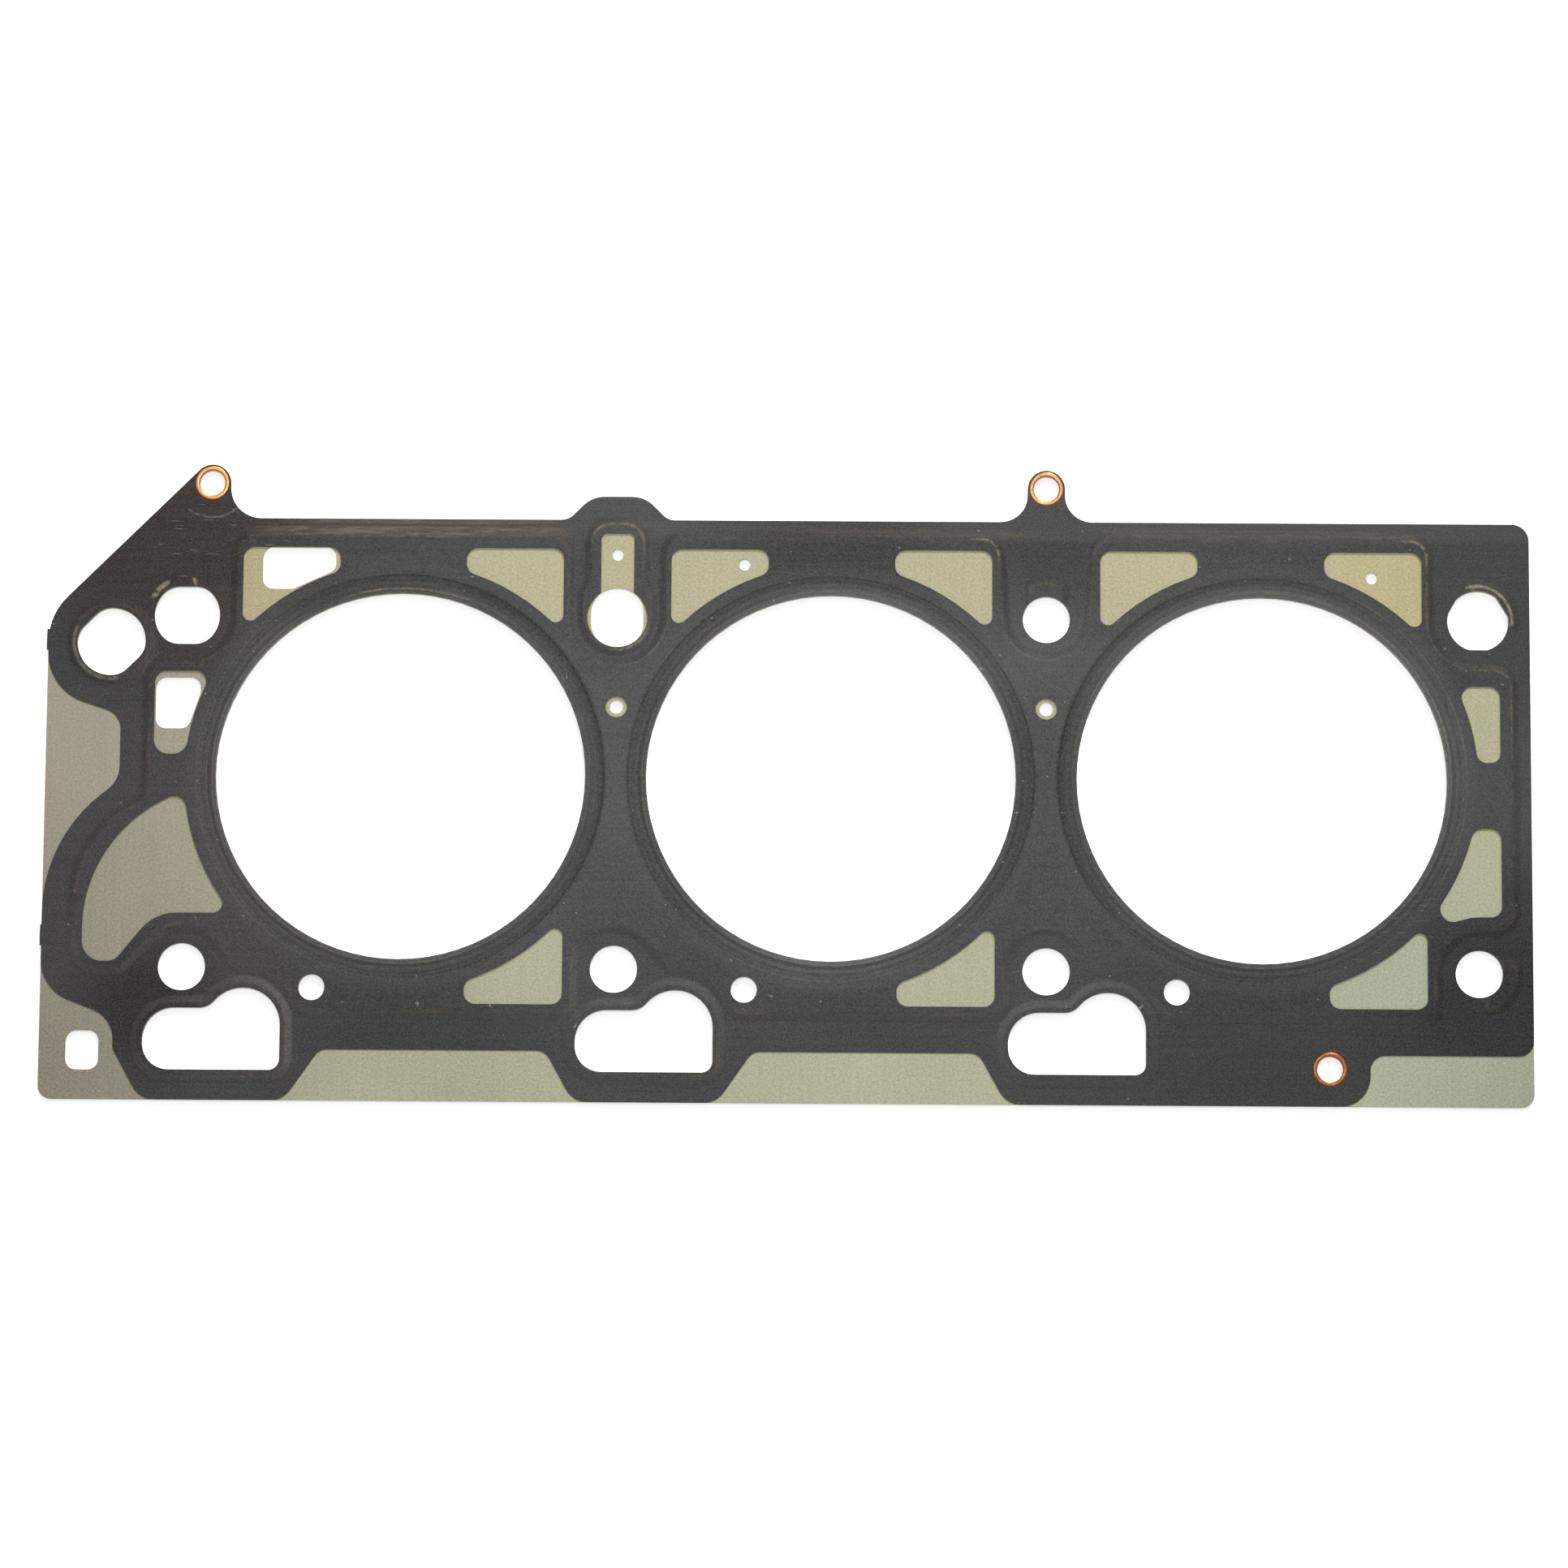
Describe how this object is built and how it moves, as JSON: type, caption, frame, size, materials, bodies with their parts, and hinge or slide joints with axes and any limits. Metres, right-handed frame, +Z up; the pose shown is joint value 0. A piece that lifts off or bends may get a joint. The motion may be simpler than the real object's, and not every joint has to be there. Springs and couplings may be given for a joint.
{
  "type": "cylinder head gasket",
  "caption": "Multi-layer steel head gasket for one bank of a V engine: coated embossed outer sheets, a bare flat spacer between them and copper-coloured eyelets.",
  "frame": {"origin": "on the middle bore's axis, at the level that the gasket lies on", "axes": "+X along the row of bores to the rear end, +Y to the side with the eyelet tabs, +Z up to the cylinder head"},
  "size_m": [0.3938, 0.1698, 0.0017],
  "materials": {
    "coated_steel": "satin rubber coating on thin spring steel",
    "bare_steel": "dull rolled sheet with a faint yellow tint",
    "copper_eyelet": "copper-coloured, rolled over"
  },
  "bodies": {
    "root": {"upper_bead_layer": "coated_steel", "spacer_layer": "bare_steel", "lower_bead_layer": "coated_steel", "front_eyelet": "copper_eyelet", "middle_eyelet": "copper_eyelet", "rear_eyelet": "copper_eyelet"}
  },
  "joints": []
}
